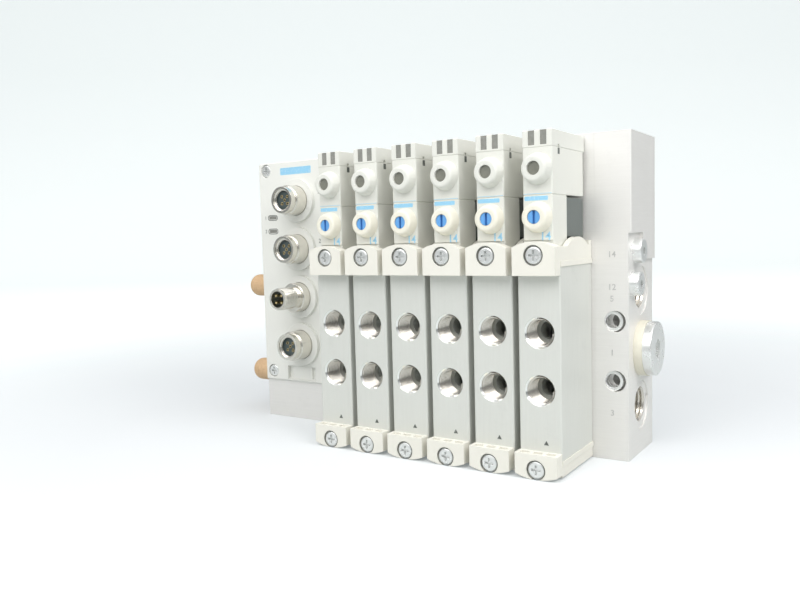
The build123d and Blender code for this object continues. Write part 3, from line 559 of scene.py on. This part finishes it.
def arrow(radius, thickness, centre):
    """A small triangle that faces the front, with slightly broken corners."""
    clear_selection()
    bpy.ops.mesh.primitive_cylinder_add(
        vertices=3, radius=radius * MM, depth=thickness * MM, rotation=(radians(90), 0, 0)
    )
    made = settle()
    bpy.ops.object.mode_set(mode="EDIT")
    bpy.ops.mesh.select_all(action="SELECT")
    bpy.ops.mesh.bevel(offset=0.05 * MM, segments=1)
    bpy.ops.object.mode_set(mode="OBJECT")
    made.data.transform(moved(centre))
    return made


def along_the_row(piece, name, finish):
    """The first valve's piece, and a copy on each of the others."""
    dress(piece, f"{name}_1", finish)
    for i in range(1, VALVES):
        copy_to(piece, f"{name}_{i + 1}", PITCH * i, 0, 0)


# ---------------------------------------------------------------- threads
PORT_THREAD = {"radius": 4.42, "depth": 0.5, "lead": 0.907, "turns": 8, "crest": 0.30}
SIDE_THREAD = {"radius": 5.92, "depth": 0.60, "lead": 1.337, "turns": 6}
BARREL_THREAD = {"radius": 4.1, "depth": 0.36, "lead": 1.0, "turns": 7}
SOCKET_THREAD = {"radius": 4.38, "depth": 0.62, "lead": 0.6, "turns": 2, "steps": 48}
BARREL_THREAD_Y = -31.0

port_thread = thread(**PORT_THREAD, towards=BACK, start=(valve_x(0), BODY_FRONT + 0.7, PORT_Z[0]))
dress(port_thread, "port_4_thread_1", "milled_aluminium")
for port, z in zip((4, 2), PORT_Z):
    for i in range(VALVES):
        if (port, i) != (4, 0):
            copy_to(port_thread, f"port_{port}_thread_{i + 1}", PITCH * i, 0, z - PORT_Z[0])

side_thread = thread(**SIDE_THREAD, towards=LEFT, start=(PLATE_OUT - 1.0, 0, SIDE_PORT_Z[0]))
dress(side_thread, "side_port_thread_upper", "milled_aluminium")
copy_to(side_thread, "side_port_thread_lower", 0, 0, SIDE_PORT_Z[1] - SIDE_PORT_Z[0])

barrel_thread = thread(**BARREL_THREAD, towards=BACK, start=(CONNECTOR_X, BARREL_THREAD_Y, CONNECTOR_Z[1]))
dress(barrel_thread, "power_thread", "nickel")

socket_start = (CONNECTOR_X, SOCKET_FACE - 0.3, CONNECTOR_Z[3])
socket_thread = thread(**SOCKET_THREAD, towards=FRONT, start=socket_start)
dress(socket_thread, "socket_thread_1", "nickel")
copy_to(socket_thread, "socket_thread_2", 0, 0, CONNECTOR_Z[2] - CONNECTOR_Z[3])
copy_to(socket_thread, "socket_thread_4", 0, 0, CONNECTOR_Z[0] - CONNECTOR_Z[3])

# ---------------------------------------------------------------- sleeves in the right plate
SLEEVE_R, SLEEVE_BORE_R, SLEEVE_LENGTH, SLEEVE_SUNK = 3.44, 2.3, 3.4, 0.7
for name, z in zip(("upper", "lower"), MOUNT_HOLE_Z):
    sleeve = tube(SLEEVE_R, SLEEVE_BORE_R, SLEEVE_LENGTH, BACK, (MARK_X, PLATE_FRONT + SLEEVE_SUNK, z))
    dress(sleeve, f"plate_sleeve_{name}", "screw_steel")

# ---------------------------------------------------------------- socket contacts
CONTACT_R, CONTACT_WIRE = 0.52, 0.2
CONTACT_CIRCLE_R = 2.0      # four contacts lie on it, and the fifth in the middle
contact = ring(CONTACT_R, CONTACT_WIRE, (CONNECTOR_X, SOCKET_FACE, CONNECTOR_Z[0]))
dress(contact, "socket_4_contact_5", "pin_gold")
for number, z in ((1, CONNECTOR_Z[3]), (2, CONNECTOR_Z[2]), (4, CONNECTOR_Z[0])):
    for n in range(5):
        if (number, n) != (4, 4):
            spread = 0.0 if n == 4 else CONTACT_CIRCLE_R
            side = spread * cos(radians(45 + 90 * n))
            rise = spread * sin(radians(45 + 90 * n))
            copy_to(contact, f"socket_{number}_contact_{n + 1}", side, 0, z - CONNECTOR_Z[0] + rise)

# ---------------------------------------------------------------- marks on the valves
X = valve_x(0)
# A dark patch on each pilot's right side: painted shade standing in for a latch recess.
latch_recess_shade = plate(1.5, 1.9, 0.06, ORIGIN, 0.2)
latch_recess_shade.data.transform(Matrix.Rotation(radians(90), 4, "Z"))
latch_recess_shade.data.transform(moved((X + PILOT_HALF_WIDTH, BODY_FRONT + 5.2, 100.4)))
pilot_number = numeral("14", 2.6, PRINT, (X + 2.4, BODY_FRONT, 74.6), 0.05)
pilot_bar = plate(7.6, 1.3, PRINT, (X - 0.5, BODY_FRONT, 86.2), 0.3)
pilot_line = plate(9.0, 0.14, 0.03, (X, BODY_FRONT, 87.6), 0.05)
upper_number = numeral("4", 1.9, RAISED, (X + 4.4, TAB_FRONT + SET_BACK, 64.9), 0.03)
lower_number = numeral("2", 2.1, RAISED, (X + 4.9, TAB_FRONT + SET_BACK, 4.4), 0.03)
# Dark rings round the cap screw heads: painted shadow in the gaps between the heads and their recesses.
upper_gap_shade = ring(3.0, 0.22, (X, TAB_FRONT + 0.16, UPPER_SCREW_Z))
lower_gap_shade = ring(2.9, 0.18, (X, TAB_FRONT + 0.16, LOWER_SCREW_Z))
blank = disc(2.05, 0.3, FRONT, (X, BOSS_TIP + 0.9, BLANK_BOSS_Z))

along_the_row(pilot_number, "valve_number", "print_blue")
along_the_row(pilot_bar, "valve_bar", "print_blue")
along_the_row(pilot_line, "valve_line", "print_blue")
# The caps' numerals are painted a darker cream: painted shade for their relief.
along_the_row(upper_number, "cap_number_4", "cap_mark")
along_the_row(lower_number, "cap_number_2", "cap_mark")
along_the_row(latch_recess_shade, "latch_recess_shade", "dark_print_and_shade")
along_the_row(upper_gap_shade, "upper_screw_gap_shade", "dark_print_and_shade")
along_the_row(lower_gap_shade, "lower_screw_gap_shade", "dark_print_and_shade")
along_the_row(blank, "blank_disc", "blank_disc")
along_the_row(arrow(0.95, PRINT, (X + 1.9, BODY_FRONT, 10.6)), "valve_arrow", "dark_print_and_shade")

# ---------------------------------------------------------------- marks on the module and plate
module_bar = plate(16.5, 2.9, PRINT, (-77.2, HOUSING_FRONT, 104.3), 0.4)
dress(module_bar, "module_bar", "print_blue")
for n, z in enumerate(LAMP_Z):
    lamp_frame = outline(5.2, 2.1, 0.28, (LAMP_X, HOUSING_FRONT, z))
    dress(lamp_frame, f"lamp_frame_{n + 1}", "dark_print_and_shade")
    lamp_number = numeral(str(n + 1), 1.5, PRINT, (LAMP_X - 4.0, HOUSING_FRONT, z))
    dress(lamp_number, f"lamp_number_{n + 1}", "dark_print_and_shade")
for n, z in enumerate(CONNECTOR_Z):
    number = numeral(str(4 - n), 1.8, PRINT, (CONNECTOR_X + 11.0, HOUSING_FRONT, z + 3.0))
    dress(number, f"connector_number_{4 - n}", "dark_print_and_shade")
for words, z in (("14", 68.1), ("12", 57.4), ("5", 53.6), ("1", 35.8), ("3", 15.7)):
    number = numeral(words, 2.0, RAISED, (MARK_X, PLATE_FRONT, z), 0.02)
    dress(number, f"plate_number_{words}", "stamped")

# ---------------------------------------------------------------- stage, in metres
FLOOR_WIDTH = 8.0
FLOOR_RUN = 4.5             # length of the sheet before its end is drawn up
FLOOR_NEAR = 1.5            # it starts this far in front of the part
FLOOR_FLAT = 2.9
FLOOR_BEND_R = 0.6
FLOOR_CLIMB = 2.2           # the wall's height for each metre of sheet past the bend
FLOOR_DROP = 0.00002

clear_selection()
bpy.ops.mesh.primitive_grid_add(x_subdivisions=2, y_subdivisions=40, size=1.0)
floor = bpy.context.object
floor.name = "floor"
for vertex in floor.data.vertices:
    along = (vertex.co.y + 0.5) * FLOOR_RUN
    bend = min(max(along - FLOOR_FLAT, 0.0) / FLOOR_BEND_R, 1.0)
    angle = bend * tau / 4
    past = max(along - FLOOR_FLAT - FLOOR_BEND_R, 0.0)
    depth = min(along, FLOOR_FLAT) + FLOOR_BEND_R * sin(angle)
    height = FLOOR_BEND_R * (1 - cos(angle)) + past * FLOOR_CLIMB
    vertex.co = (vertex.co.x * FLOOR_WIDTH, depth - FLOOR_NEAR, height)
floor.data.transform(Matrix.Rotation(radians(33.4), 4, "Z"))
floor.data.transform(Matrix.Translation((0, 0, -FLOOR_DROP)))
bpy.ops.object.shade_smooth()

# The camera sees a pale sheet whose colour and glow are painted greyer near the part, a painted shade
# that lets its cast shadow show. Other rays get a duller one, so that the floor throws less light on the
# part's lower faces.
paper = Paint("floor_paper")
fibre = paper.noise(9.0, 3.0)
seen = paper.node("ShaderNodeLightPath", "Is Camera Ray")
reach = paper.along("X") * paper.along("X") + paper.along("Y") * paper.along("Y")
far = paper.ramp(reach / 0.30, (0.08, 0.0), (1.0, 1.0))
pale = paper.mix(fibre, (0.93, 0.965, 0.965), (0.95, 0.975, 0.975))
sheet = paper.mix(far, (0.67, 0.68, 0.69), pale)
glow_greyed_near = paper.mix(far, (0.30, 0.34, 0.36), (0.93, 1.0, 1.0))
floor.data.materials.append(
    paper.finish(
        Base_Color=paper.mix(seen, (0.50, 0.52, 0.52), sheet),
        Roughness=0.85,
        Emission_Color=paper.mix(seen, (0.22, 0.24, 0.24), glow_greyed_near),
        Emission_Strength=0.42,
    )
)

world = bpy.data.worlds.new("studio")
world.use_nodes = True
bpy.context.scene.world = world
sky = world.node_tree
aim = sky.nodes.new("ShaderNodeTexCoord")
split = sky.nodes.new("ShaderNodeSeparateXYZ")
fade = sky.nodes.new("ShaderNodeValToRGB")
sky.links.new(aim.outputs["Generated"], split.inputs[0])
sky.links.new(split.outputs["Z"], fade.inputs["Fac"])
fade.color_ramp.elements[0].position = 0.0
fade.color_ramp.elements[0].color = (0.26, 0.28, 0.28, 1.0)
fade.color_ramp.elements[1].position = 0.55
fade.color_ramp.elements[1].color = (1.0, 1.0, 1.0, 1.0)
glow = sky.nodes["Background"]
glow.inputs["Strength"].default_value = 0.72
sky.links.new(fade.outputs["Color"], glow.inputs["Color"])
backdrop = sky.nodes.new("ShaderNodeBackground")
backdrop.inputs["Color"].default_value = (0.93, 0.99, 1.0, 1.0)
ray = sky.nodes.new("ShaderNodeLightPath")
either = sky.nodes.new("ShaderNodeMixShader")
sky.links.new(ray.outputs["Is Camera Ray"], either.inputs[0])
sky.links.new(glow.outputs[0], either.inputs[1])
sky.links.new(backdrop.outputs[0], either.inputs[2])
sky.links.new(either.outputs[0], sky.nodes["World Output"].inputs["Surface"])


def lamp(name, size, power, place, target, colour=(1.0, 1.0, 1.0)):
    """A soft square light aimed at a point, in metres."""
    light = bpy.data.lights.new(name, "AREA")
    light.size = size
    light.energy = power
    light.color = colour
    stand = bpy.data.objects.new(name, light)
    bpy.context.collection.objects.link(stand)
    stand.location = place
    stand.rotation_euler = (Vector(target) - Vector(place)).to_track_quat("-Z", "Y").to_euler()


lamp("key_light", 0.7, 3.1, (-0.40, -0.80, 0.72), (0, 0, 0.07))
lamp("top_light", 0.9, 1.5, (0.0, -0.05, 1.0), (0, 0, 0.0), (0.97, 1.0, 1.0))
lamp("front_light", 0.30, 0.72, (0.08, -0.38, 0.38), (0, -0.02, 0.12))
lamp("side_light", 0.30, 1.45, (0.42, -0.14, 0.40), (0.05, 0, 0.12))

bpy.context.scene.view_settings.view_transform = "Standard"

# ---------------------------------------------------------------- camera
YAW, PITCH_DOWN, ROLL = radians(33.38), radians(4.61), radians(-1.57)
ahead = Vector((-sin(YAW) * cos(PITCH_DOWN), cos(YAW) * cos(PITCH_DOWN), -sin(PITCH_DOWN)))
level = Vector((cos(YAW), sin(YAW), 0))
upright = level.cross(ahead)
across = cos(ROLL) * level + sin(ROLL) * upright
up = -sin(ROLL) * level + cos(ROLL) * upright
view = Matrix((across, up, -ahead)).transposed().to_4x4()
view.translation = Vector((132.6, -259.6, 75.2)) * MM
optics = bpy.data.cameras.new("camera")
optics.lens = 34.35
optics.sensor_width = 36.0
optics.clip_start = 0.01
camera = bpy.data.objects.new("camera", optics)
camera.matrix_world = view
bpy.context.collection.objects.link(camera)
bpy.context.scene.camera = camera
